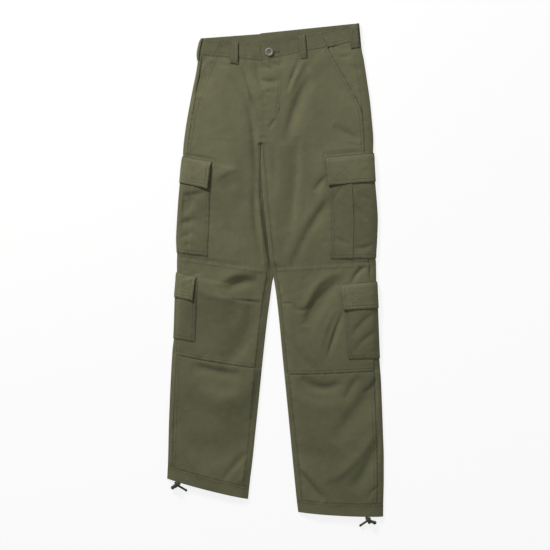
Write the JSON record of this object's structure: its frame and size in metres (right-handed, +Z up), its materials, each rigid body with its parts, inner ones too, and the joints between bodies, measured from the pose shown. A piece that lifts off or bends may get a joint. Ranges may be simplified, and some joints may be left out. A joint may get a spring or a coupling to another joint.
{
  "type": "cargo trousers laid out flat",
  "caption": "Cargo trousers laid flat, with leg pockets and flaps, slanted hip pockets, knee patches, belt loops, a waist button and corded hems.",
  "frame": {"origin": "middle of the bounding box's base, on the surface the trousers lie on, cords left out", "axes": "+Y from the hems to the waist, +X to the wearer's left, +Z up from the surface, out of the front of the trousers"},
  "size_m": [0.488, 1.1339, 0.0158],
  "materials": {
    "twill": "matte brushed cotton twill, washed olive",
    "twill_back": "matte brushed cotton twill, washed olive",
    "twill_double": "matte cotton twill folded double and topstitched",
    "drawcord": "round braided cord, dark green",
    "button_metal": "dull grey-green plated metal with a dished middle"
  },
  "bodies": {
    "root": {"front_left": "twill", "front_right": "twill", "back_left": "twill_back", "back_right": "twill_back", "hip_pocket_left": "twill_back", "hip_pocket_right": "twill_back", "knee_patch_left": "twill", "knee_patch_right": "twill", "cargo_pocket_left": "twill", "cargo_pocket_right": "twill", "cargo_flap_left": "twill", "cargo_flap_right": "twill", "shin_pocket_left": "twill", "shin_pocket_right": "twill", "shin_flap_left": "twill", "shin_flap_right": "twill", "waistband_front_left": "twill_double", "waistband_front_right": "twill_double", "waistband_back": "twill_double", "belt_loop_front_left": "twill_double", "belt_loop_front_right": "twill_double", "belt_loop_side_left": "twill_double", "belt_loop_side_right": "twill_double", "belt_loop_back": "twill_double", "hem_left": "twill_double", "hem_right": "twill_double", "button": "button_metal", "hem_cord_left": "drawcord", "hem_cord_right": "drawcord", "hem_cord_end_left": "drawcord", "hem_cord_end_right": "drawcord", "hem_knot_left": "drawcord", "hem_knot_right": "drawcord"}
  },
  "joints": []
}
